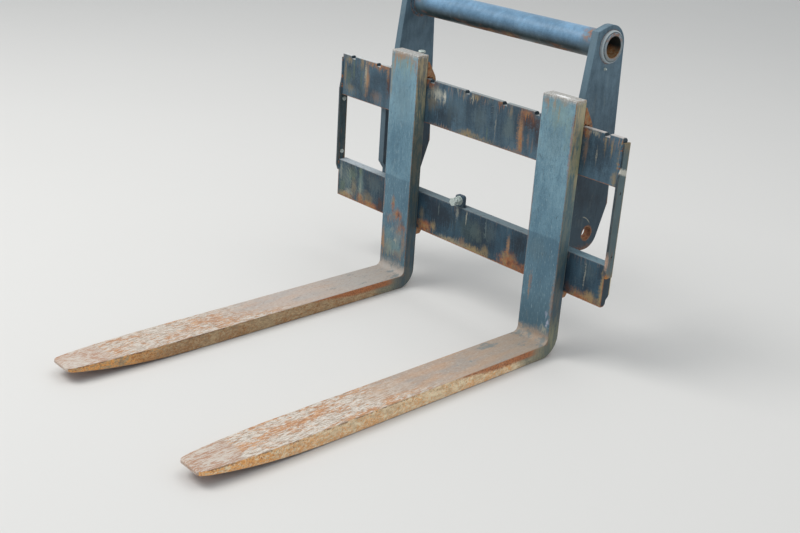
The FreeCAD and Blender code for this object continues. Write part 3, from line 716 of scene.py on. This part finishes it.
def blade_side(s, node, y, broad, fine):
    """Sides of a blade: cream and orange rust, with grey paint kept at the heel; lighter on the near arm as
    painted light, darker on the far arm as painted shade.
    """
    # Lit and shaded copies: the near arm's sides carry painted light, the far arm's painted shade.
    if node == "fork_right":
        cream, dull, orange, deep = (246, 228, 194), (208, 178, 141), (242, 182, 118), (212, 142, 80)
    else:
        cream, dull, orange, deep = (188, 164, 130), (148, 126, 98), (172, 124, 80), (132, 92, 58)
    flour = s.clouds(0.010, 23, (1, 2.5, 1), 6.0, 0.74)
    patches = s.clouds(0.006, 27, (1, 1.8, 1), 8.0, 0.78)
    patches = patches + (broad - 0.5) * 0.4 + s.rise(y, -0.6, -1.2) * 0.012
    low = s.rise(s.z, 0.034, 0.010) * 0.03
    tipward = s.rise(y + (broad - 0.5) * 0.4, -0.88, -1.12)
    pits = s.rise(fine, 0.57, 0.65) * s.rise(s.z, 0.006, 0.040)
    lip = s.rise(s.z + (fine - 0.5) * 0.012, 0.0400, 0.0425) * s.rise(y, -0.50, -0.70)
    lip = lip * s.rise(s.clouds(0.02, 44, (1, 2, 1), 3.0), 0.44, 0.54)
    painted = s.rise(y + s.z * 0.9 + (broad - 0.5) * 0.05, -0.190, -0.120)
    line = s.rise(s.z + (fine - 0.5) * 0.016 - s.rise(y, -0.26, -0.40) * 0.014, 0.020, 0.030)
    line = line * s.within(y + (fine - 0.5) * 0.05, -0.42, -0.10, 0.03)
    return s.layers(
        s.mix(s.rise(flour, 0.36, 0.62), dull, cream),
        (s.rise(patches + low, 0.49, 0.62) * 0.8, s.mix(s.rise(fine, 0.42, 0.60), orange, deep)),
        (tipward * s.rise(patches, 0.44, 0.52) * 0.75,
         s.mix(s.rise(fine, 0.44, 0.60), (244, 178, 100), (206, 132, 72))),
        (pits * 0.7, (98, 74, 56)),
        (lip * 0.7, (96, 72, 58)),
        (painted * 0.85, s.mix(s.rise(fine, 0.4, 0.6), (98, 112, 106), (146, 142, 120))),
        (line * 0.85, s.mix(s.rise(fine, 0.44, 0.6), (186, 112, 66), (128, 76, 50))))


def arm_surface(node):
    """Fork arm: blue-grey paint on the shank, rubbed tan on the blade, ochre sides, scale at the end."""
    paint, rust = settings("fork_paint"), settings("fork_rust")
    s = Surface(node + "_steel")
    middle = ARMS[node]
    x, y, along = s.x - middle, s.y - BAR_FACE, s.y - BLADE_TIP
    tears, fine, runs = break_up(s, 12.0)
    broad = s.clouds(0.06, middle * 30)
    upward = s.rise(s.facing_z, 0.55, 0.85)
    sideways = s.rise(abs(s.facing_x), 0.55, 0.85)

    # Shank
    colour, grain = weathered(s, paint.fork_dark, paint.fork_light, middle * 20, 6.0)
    if node == "fork_left":
        colour = s.mix(s.rise(s.z, 0.50, 0.62) * 0.4, colour, (128, 164, 180))
    mottle = s.clouds(0.0045, middle * 3, (1, 1, 4), 5.0, 0.72)
    colour = s.layers(
        colour,
        (s.rise(s.z, 0.62, 0.45) * 0.4, (74, 110, 130)),
        (s.rise(s.z + (broad - 0.5) * 0.012, 0.379, 0.371) * 0.48, (58, 88, 106)),
        (s.rise(s.z + (broad - 0.5) * 0.1, 0.26, 0.08) * 0.4, (60, 86, 96)),
        (s.rise(mottle, 0.54, 0.66) * 0.50, (62, 86, 98)),
        (s.rise(mottle, 0.45, 0.32) * 0.42, (152, 176, 182)))
    colour = scratches(s, colour, (64, 78, 86), 0.6, middle * 9)
    colour = scratches(s, colour, (186, 196, 200), 0.5, middle * 5 + 2)
    veins = s.rise(s.clouds(0.003, 31, (1, 1, 26), 2.0), 0.63, 0.72)
    colour = s.layers(colour, (veins * 0.18, rust.ochre),
                      (sideways * 0.92, flank_paint(s, node, y, broad, fine)))
    colour, rusty = marked(s, colour, x, SHANK_MARKS[node], (tears, fine, runs), s.front())

    # Blade
    top, flakes, scaly = blade_top(s, node, along, broad)
    blade = s.layers(top, (sideways, blade_side(s, node, y, broad, fine)),
                     (s.rise(-s.facing_z, 0.5, 0.9), rust_colour(s, 12.0, 0.03)))
    climb = s.rise(s.z + (broad - 0.5) * 0.03 + (tears - 0.5) * 0.060, 0.088, 0.060)
    on_blade = climb.most(s.rise(y, -0.047, -0.062))
    on_blade = on_blade * (1.0 - s.rise(y, -0.12, -0.05) * sideways * 0.85)

    # Edges and the top of the shank
    shank_gap = (y + SHANK_FRONT).least(-SHANK_BACK - y).least(SHANK_TOP - s.z)
    blade_gap = (BLADE_TOP - s.z).least(s.z)
    gap = (HALF_FORK - abs(x)).most(shank_gap.most(blade_gap))
    edge = s.rise(gap + (fine - 0.5) * 0.014, 0.0036, 0.0004)
    rubbed = s.rise(s.z + (fine - 0.5) * 0.03, 0.62, 0.785) * 0.4 + 0.4
    if node == "fork_left":
        rubbed = rubbed.most(s.rise(s.z, 0.52, 0.30) * s.rise(x, -0.040, -0.058) * 0.85)
    edge_tone = s.mix(s.rise(broad, 0.45, 0.6), rust.run, rust_colour(s, 14.0, 0.012))
    cap = s.rise(s.z + (tears - 0.5) * 0.030, 0.776, 0.791)
    colour = s.layers(
        colour,
        (on_blade, blade),
        (edge * rubbed * (1.0 - on_blade * 0.6), edge_tone),
        (cap * 0.8, s.mix(s.rise(fine, 0.42, 0.6), (158, 144, 130), (196, 194, 190))))
    if node == "fork_right":
        flat = s.node("ShaderNodeCombineXYZ", {}, {0: x, 1: y})
        scuff = s.stain(flat, (0.002, -0.032), (0.044, 0.011), 1.0 + (fine - 0.5) * 2.0)
        scuff = scuff * upward * s.rise(s.z, 0.70, 0.78)
        colour = s.mix(scuff * 0.95, colour, (238, 238, 238))

    rusty = rusty.most(on_blade * 0.8).most(edge * 0.5)
    height = grain * 0.25 + fine * 0.15 + on_blade * flakes * (0.5 + scaly * 1.2) + rusty * fine * 0.6
    return s.shade(colour, 0.44 + grain * 0.12 + rusty * 0.32, height, 0.0009)


def hook_surface():
    """Flame-cut hooks: brown rust with drag lines and traces of paint."""
    s = Surface("hook_rust")
    dust = s.rise(s.clouds(0.012, 15, detail=5.0), 0.42, 0.62)
    traces = s.rise(s.clouds(0.02, 8, detail=5.0), 0.54, 0.64)
    fine = s.clouds(0.004, 2, detail=5.0, roughness=0.7)
    drag = s.clouds(0.0016, 3, (14, 1, 1), 2.0)
    colour = s.layers(
        rust_colour(s, 5.0, 0.022),
        (dust * 0.7, (166, 130, 98)),
        (traces * 0.7, (78, 88, 88)),
        (s.rise(fine, 0.55, 0.7) * 0.4, settings("fork_rust").ochre))
    return s.shade(colour, 0.78 - traces * 0.2, fine * 0.8 + drag * 0.8, 0.0008)


def zinc_surface():
    """Dull zinc plate with a few rust specks."""
    s = Surface("dull_zinc")
    rust = settings("fork_rust")
    fine = s.clouds(0.002, 2)
    specks = s.rise(s.clouds(0.003, 9, roughness=0.7), 0.62, 0.70)
    colour = s.mix(s.rise(fine, 0.36, 0.62), (146, 160, 156), rust.zinc)
    colour = s.mix(specks * 0.6, colour, rust.orange)
    return s.shade(colour, 0.34 + fine * 0.2 + specks * 0.3, fine, 0.0002, 0.5 - specks * 0.4)


def bolt_surface():
    """Screws through the right end plate: zinc gone brown and dark."""
    s = Surface("tarnished_bolt")
    fine = s.clouds(0.002, 2)
    colour = s.ramp(s.clouds(0.006, 5),
                    (0.35, (72, 60, 52)), (0.5, (150, 150, 142)), (0.62, (204, 206, 200)))
    return s.shade(colour, 0.5 + fine * 0.2, fine, 0.0002, 0.4)


def bead_surface(name, dark, light, rust_share):
    """Painted-over weld with rust in its ripples."""
    s = Surface(name)
    colour, _ = weathered(s, dark, light, 9, 2.0)
    blotch = s.rise(s.clouds(0.014, 6, detail=5.0), 0.62 - rust_share * 0.24, 0.70 - rust_share * 0.2)
    colour = s.mix(blotch * 0.85, colour, rust_colour(s, 3.0, 0.006))
    return s.shade(colour, 0.5 + blotch * 0.3, s.clouds(0.0015, 1, detail=3.0), 0.0004)


def new_piece(name, mesh, material, body, smooth=True):
    """Makes a piece of a mesh and lets it ride on a body of the frame."""
    mesh.normal_update()
    data = bpy.data.meshes.new(name)
    mesh.to_mesh(data)
    mesh.free()
    data.materials.append(material)
    for polygon in data.polygons:
        polygon.use_smooth = smooth
    piece = bpy.data.objects.new(name, data)
    bpy.context.scene.collection.objects.link(piece)
    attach(piece, body)
    return piece


def angles(count):
    """Angles that divide a full turn evenly."""
    return [2 * math.pi * i / count for i in range(count)]


def skin_rings(mesh, rings, capped=True):
    """Joins rings of vertices one after another, with caps at both ends."""
    for first, second in zip(rings, rings[1:]):
        for i in range(len(first)):
            j = (i + 1) % len(first)
            mesh.faces.new((first[i], first[j], second[j], second[i]))
    if capped:
        mesh.faces.new(rings[0][::-1])
        mesh.faces.new(rings[-1])


def turned(mesh, origin, axis, profile, segments=48, around=None):
    """Turns a profile of (distance along the axis, radius) about it.

    around gives the radius at a distance and an angle, for shapes that aren't round."""
    axis, origin = Vector(axis).normalized(), Vector(origin)
    side = axis.orthogonal().normalized()
    other = axis.cross(side)
    rings = []
    for along, radius in profile:
        ring = []
        for angle in angles(segments):
            reach = around(along, radius, angle) if around else radius
            spoke = side * math.cos(angle) + other * math.sin(angle)
            ring.append(mesh.verts.new(origin + axis * along + spoke * reach))
        rings.append(ring)
    skin_rings(mesh, rings)


def knurl(_, radius, angle):
    """Cuts 28 grooves into the widest part of a knob."""
    return radius - (0.0005 * (1 + math.cos(angle * 28)) / 2 if radius > 0.0118 else 0.0)


def hex_head(mesh, origin, axis, across, height, both=False):
    """Hexagon head or nut, its corners turned off at 30 degrees at the far end or at both."""
    flat, step = across / 2, math.pi / 3
    drop = (across / math.sqrt(3) - flat) * math.tan(math.radians(30))
    foot = [(0.0, flat * 0.96), (drop, None)] if both else [(0.0, flat), (0.0005, None)]

    def around(_, radius, angle):
        """The hexagon's own radius where the profile gives none."""
        return flat / math.cos((angle + step / 2) % step - step / 2) if radius is None else radius

    turned(mesh, origin, axis, foot + [(height - drop, None), (height, flat * 0.96)], 72, around)


def threaded(mesh, origin, axis, radius, length, pitch):
    """Rod with a single thread cut into it."""
    depth, steps = pitch * 0.55, int(length / pitch * 8)

    def around(along, radius, angle):
        phase = (along / pitch - angle / (2 * math.pi)) % 1.0
        cut = abs(phase - 0.5) * 2
        fade = min(1.0, along / pitch, (length - along) / pitch)
        return radius - depth * (1 - cut) * max(0.0, fade)

    turned(mesh, origin, axis, [(length * i / steps, radius) for i in range(steps + 1)], 32, around)


def screw(mesh, top, axis, length, sizes):
    """Screw with a hexagon head, from the top of its head along an axis."""
    across, head, start, radius, pitch = sizes
    neck, thread = ([place + way * far for place, way in zip(top, axis)] for far in (head, start))
    hex_head(mesh, neck, [-way for way in axis], across, head)
    threaded(mesh, thread, axis, radius, length - start, pitch)


def bead(name, route, radius, body, material, seed=1, closed=False):
    """Weld bead: a rippled run of metal along a route of points."""
    ripple = settings("fork_welds").ripple
    chance = random.Random(seed)
    points = [Vector(point) for point in route]
    samples, travelled = [], 0.0
    for start, end in zip(points, points[1:] + points[:1] if closed else points[1:]):
        length = (end - start).length
        steps = max(1, round(length / (ripple / 3.5)))
        for i in range(steps):
            samples.append((start.lerp(end, i / steps), travelled + length * i / steps))
        travelled += length
    if not closed:
        samples.append((points[-1], travelled))
    wobble = [chance.uniform(-0.09, 0.09) for _ in range(int(travelled / ripple) + 3)]

    mesh, rings = bmesh.new(), []
    for index, (point, distance) in enumerate(samples):
        before = samples[index - 1][0] if index or closed else point
        after = samples[(index + 1) % len(samples)][0] if index + 1 < len(samples) or closed else point
        direction = (after - before).normalized()
        upright = abs(direction.z) > 0.9
        side = (direction.orthogonal() if upright else direction.cross(UP)).normalized()
        other = direction.cross(side)
        phase = distance / ripple
        share = phase - math.floor(phase)
        size = radius * (0.94 + 0.12 * math.sin(math.pi * share) + wobble[int(phase)])
        if not closed:
            end_gap = min(distance, travelled - distance)
            size *= math.sqrt(min(1.0, 0.15 + end_gap / radius))
        lag = direction * (radius * 0.35 * share)
        rings.append([mesh.verts.new(point + lag * 0.4 + (side * math.cos(a) + other * math.sin(a)) * size)
                      for a in angles(12)])
    skin_rings(mesh, rings + rings[:1] if closed else rings, capped=not closed)
    new_piece(name, mesh, material, body)


class StageOperator(bpy.types.Operator):
    """Camera, floor, sky and lamps"""

    bl_idname = "pallet_forks.stage"
    bl_label = "Studio"

    def execute(self, context):
        studio, scene = settings("fork_studio"), context.scene
        scene.view_settings.view_transform = "Standard"
        lens = bpy.data.cameras.new("view")
        lens.sensor_width, lens.lens, lens.clip_end = 36.0, 52.1216, 200.0
        camera = bpy.data.objects.new("view", lens)
        camera.matrix_world = Matrix(((0.66984, -0.31778, 0.67107, 2.42646),
                                      (0.73990, 0.21005, -0.63908, -2.03092),
                                      (0.06213, 0.92460, 0.37583, 1.54204),
                                      (0, 0, 0, 1)))
        scene.collection.objects.link(camera)
        scene.camera = camera

        s = Surface("pale_floor")
        s.shade(s.mix(s.clouds(0.9, detail=3.0) * 0.25, studio.floor, (204, 203, 201)), 0.85)
        mesh = bmesh.new()
        bmesh.ops.create_circle(mesh, cap_ends=True, segments=96, radius=60.0)
        data = bpy.data.meshes.new("floor")
        mesh.to_mesh(data)
        mesh.free()
        data.materials.append(s.material)
        floor = bpy.data.objects.new("floor", data)
        floor.location.z = -0.0005
        scene.collection.objects.link(floor)

        # The sky lights the piece, and the camera and reflections see a plain backdrop
        scene.world = bpy.data.worlds.new("studio")
        world = Graph(scene.world)
        direct = world.node("ShaderNodeLightPath", output="Is Camera Ray")
        mirrored, through = world.outputs(direct, "Is Glossy Ray", "Is Transmission Ray")
        sky = world.node("ShaderNodeBackground", {}, {"Color": (0.93, 0.97, 1.0), "Strength": studio.sky})
        backdrop = world.node("ShaderNodeBackground", {}, {"Color": (0.82, 0.82, 0.81)})
        shown = world.node("ShaderNodeMixShader", {}, {
            0: direct.most(mirrored).most(through), 1: sky, 2: backdrop})
        world.node("ShaderNodeOutputWorld", {}, {"Surface": shown})

        for name, place, size, power in (("key", (-2.8, -3.2, 6.2), 4.5, studio.key),
                                         ("top", (0.6, 1.2, 6.0), 5.0, studio.key * 0.25)):
            lamp = bpy.data.lights.new(name, "AREA")
            lamp.shape, lamp.size, lamp.energy = "DISK", size, power
            lamp.color = (1.0, 0.985, 0.96)
            holder = bpy.data.objects.new(name, lamp)
            holder.location = place
            holder.rotation_mode = "QUATERNION"
            holder.rotation_quaternion = (Vector((0, 0, 0.3)) - Vector(place)).to_track_quat("-Z", "Y")
            scene.collection.objects.link(holder)
        return {"FINISHED"}


class BarsOperator(bpy.types.Operator):
    """Paint, rust and rubs on the two notched bars"""

    bl_idname = "pallet_forks.bars"
    bl_label = "Bars"

    def execute(self, context):
        paint = settings("fork_paint")
        dress("upper_bar", bar_surface(
            "upper_bar", UPPER_BAR_MARKS, paint.slate_dark, paint.slate_light, foot_height=0.0022,
            top_tones=((204, 206, 206), (142, 150, 152), (190, 184, 180)), drip_share=0.55, scuff_share=0.2))
        dress("lower_bar", bar_surface(
            "lower_bar", LOWER_BAR_MARKS, paint.shade_dark, paint.shade_light, foot_height=0.0060,
            top_tones=((174, 184, 191), (100, 118, 126), (112, 138, 150)), drip_share=0.2, scuff_share=0.6))
        return {"FINISHED"}


class HitchOperator(bpy.types.Operator):
    """Hitch plates, cross tube and collars"""

    bl_idname = "pallet_forks.hitch"
    bl_label = "Hitch"

    def execute(self, context):
        plates, collar = ear_surface(), collar_surface()
        for side, _ in SIDES:
            dress("ear_" + side, plates)
            dress("tube_collar_" + side, collar)
        dress("hitch_tube", tube_surface())
        return {"FINISHED"}


class EndPlatesOperator(bpy.types.Operator):
    """End plates that stop the forks, and the lug of the stop screw"""

    bl_idname = "pallet_forks.end_plates"
    bl_label = "End plates"

    def execute(self, context):
        for side, sign in SIDES:
            dress("end_plate_" + side, end_plate_surface(side, sign))
        dress("stop_lug", lug_surface())
        return {"FINISHED"}


class ArmsOperator(bpy.types.Operator):
    """The two fork arms"""

    bl_idname = "pallet_forks.arms"
    bl_label = "Fork arms"

    def execute(self, context):
        for node in ARMS:
            dress(node, arm_surface(node))
        return {"FINISHED"}


class HooksOperator(bpy.types.Operator):
    """Hooks that hang the forks on the bars"""

    bl_idname = "pallet_forks.hooks"
    bl_label = "Hooks"

    def execute(self, context):
        finish = hook_surface()
        for node in ARMS:
            dress(node + "_upper_hook", finish)
            dress(node + "_lower_hook", finish)
        return {"FINISHED"}


class LatchesOperator(bpy.types.Operator):
    """Latch pins of the forks, with their knurled knobs"""

    bl_idname = "pallet_forks.latches"
    bl_label = "Latches"

    def execute(self, context):
        finish = zinc_surface()
        for node in ARMS:
            low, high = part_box(node + "_latch")
            middle, base = (low + high) / 2, high.z - KNOB[-1][0]
            pin = [(0.0, 0.0055), (0.0015, 0.007),
                   (base - low.z - 0.004, 0.007), (base - low.z + 0.001, 0.0062)]
            mesh = bmesh.new()
            turned(mesh, (middle.x, middle.y, low.z), UP, pin, 32)
            turned(mesh, (middle.x, middle.y, base), UP, KNOB, 112, knurl)
            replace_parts(new_piece(node + "_latch_pin", mesh, finish, node), node + "_latch")
        return {"FINISHED"}


class FastenersOperator(bpy.types.Operator):
    """Stop screw with its nut, the end plates' bolts, and the grease nipples"""

    bl_idname = "pallet_forks.fasteners"
    bl_label = "Fasteners"

    def execute(self, context):
        zinc, tarnished = zinc_surface(), bolt_surface()
        low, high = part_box("stop_screw")
        x, z = (low.x + high.x) / 2, (low.z + high.z) / 2
        mesh = bmesh.new()
        screw(mesh, (x, low.y, z), (0, 1, 0), high.y - low.y, STOP_SCREW)
        piece = new_piece("stop_screw_threaded", mesh, zinc, "carriage", smooth=False)
        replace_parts(piece, "stop_screw")
        low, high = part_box("stop_nut")
        mesh = bmesh.new()
        hex_head(mesh, (x, low.y, z), (0, 1, 0), STOP_SCREW[0], NUT_HEIGHT, both=True)
        turned(mesh, (x, high.y - WASHER[-1][0], z), (0, 1, 0), WASHER)
        piece = new_piece("stop_nut_washer", mesh, zinc, "carriage", smooth=False)
        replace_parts(piece, "stop_nut")
        for side, sign in SIDES:
            for level in ("low", "high"):
                node = "end_bolt_%s_%s" % (side, level)
                low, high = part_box(node)
                head = (low.x if sign > 0 else high.x, (low.y + high.y) / 2, (low.z + high.z) / 2)
                mesh = bmesh.new()
                screw(mesh, head, (sign, 0, 0), high.x - low.x, END_BOLT)
                finish = tarnished if side == "right" else zinc
                piece = new_piece(node + "_hex", mesh, finish, "carriage", smooth=False)
                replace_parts(piece, node)
            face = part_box("ear_right")[1].x * sign
            y, z = BAR_FACE + NIPPLE_AXIS[0], NIPPLE_AXIS[1]
            mesh = bmesh.new()
            hex_head(mesh, (face, y, z), (sign, 0, 0), 0.008, 0.003)
            turned(mesh, (face + sign * 0.0028, y, z), (sign, 0, 0), NIPPLE, 24)
            new_piece("grease_nipple_" + side, mesh, zinc, "carriage")
        return {"FINISHED"}


class WeldsOperator(bpy.types.Operator):
    """Weld beads that join the carriage and the hooks"""

    bl_idname = "pallet_forks.welds"
    bl_label = "Welds"

    def execute(self, context):
        sizes, paint = settings("fork_welds"), settings("fork_paint")
        painted = bead_surface("carriage_weld", paint.slate_dark, paint.slate_light, 0.5)
        rusted = bead_surface("hook_weld", (96, 84, 72), (120, 104, 88), 1.0)
        ear, upper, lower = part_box("ear_right"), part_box("upper_bar"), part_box("lower_bar")
        tube, back = Vector((0, BAR_FACE + TUBE_AXIS[0], TUBE_AXIS[1])), upper[1].y

        # Upright beads: bar, lower end, upper end, seed
        on_ears = (("upper", upper[0].z + 0.004, 0.676, 5), ("lower", 0.297, lower[1].z - 0.002, 7))
        on_ends = (("upper", upper[0].z + 0.002, 0.696, 9), ("lower", 0.302, lower[1].z - 0.002, 9))
        for side, sign in SIDES:
            x, radius = sign * ear[0].x, TUBE_WELD_RADIUS
            ring = [tube + Vector((x, radius * math.cos(a), radius * math.sin(a))) for a in angles(72)]
            bead("tube_weld_" + side, ring, sizes.heavy, "carriage", painted, 3, closed=True)
            for name, corner in (("inner", ear[0]), ("outer", ear[1])):
                x = sign * corner.x
                for bar, low, high, seed in on_ears:
                    bead("ear_%s_%s_%s_weld" % (side, bar, name), [(x, back, low), (x, back, high)],
                         sizes.heavy, "carriage", painted, seed)
            x = upper[1].x * sign
            for bar, low, high, seed in on_ends:
                bead("end_plate_%s_%s_front_weld" % (side, bar), [(x, BAR_FACE, low), (x, BAR_FACE, high)],
                     sizes.light, "carriage", painted, seed)

        low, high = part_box("stop_lug")
        front, z = low.y + 0.003, low.z
        around = [(low.x, front, z), (low.x, high.y, z), (high.x, high.y, z), (high.x, front, z)]
        bead("stop_lug_weld", around, sizes.light, "carriage",
             bead_surface("lug_weld", paint.shade_dark, paint.shade_light, 0.1))

        for node, middle in ARMS.items():
            low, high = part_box(node + "_lower_hook")
            foot, top = low.z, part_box(node + "_upper_hook")[1].z
            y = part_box(node)[1].y + 0.001
            # Level beads: name, ends from the shank's middle, height, radius, seed
            for name, left, right, z, radius, seed in (("top_weld", -0.058, -0.004, top, 0.0055, 11),
                                                       ("top_weld_short", 0.034, 0.058, top, 0.0055, 12),
                                                       ("foot_weld", -0.044, 0.044, foot, 0.006, 13)):
                bead(node + "_" + name, [(middle + left, y, z), (middle + right, y, z)],
                     radius, node, rusted, seed)
            for name, x in (("left", low.x), ("right", high.x)):
                bead("%s_foot_weld_%s" % (node, name), [(x, y, foot + 0.002), (x, y, foot + 0.024)],
                     0.005, node, rusted, 14)
        return {"FINISHED"}


class ForksPanel(bpy.types.Panel):
    """Steps that finish the attachment"""

    bl_idname = "VIEW3D_PT_pallet_forks"
    bl_label = "Pallet Forks"
    bl_space_type = "VIEW_3D"
    bl_region_type = "UI"
    bl_category = "Pallet Forks"

    def draw(self, context):
        for step in STEPS:
            self.layout.operator(step.bl_idname)
        for name, group in SETTINGS.items():
            box = self.layout.box()
            for key in group.__annotations__:
                box.prop(getattr(context.scene, name), key)


STEPS = (StageOperator, BarsOperator, HitchOperator, EndPlatesOperator, ArmsOperator, HooksOperator,
         LatchesOperator, FastenersOperator, WeldsOperator)


def register():
    for group in (*SETTINGS.values(), *STEPS, ForksPanel):
        bpy.utils.register_class(group)
    for name, group in SETTINGS.items():
        setattr(bpy.types.Scene, name, PointerProperty(type=group))


def unregister():
    for name in SETTINGS:
        delattr(bpy.types.Scene, name)
    for group in reversed((*SETTINGS.values(), *STEPS, ForksPanel)):
        bpy.utils.unregister_class(group)


def main():
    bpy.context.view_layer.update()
    register()
    for step in STEPS:
        family, name = step.bl_idname.split(".")
        getattr(getattr(bpy.ops, family), name)()


if __name__ == "__main__":
    main()
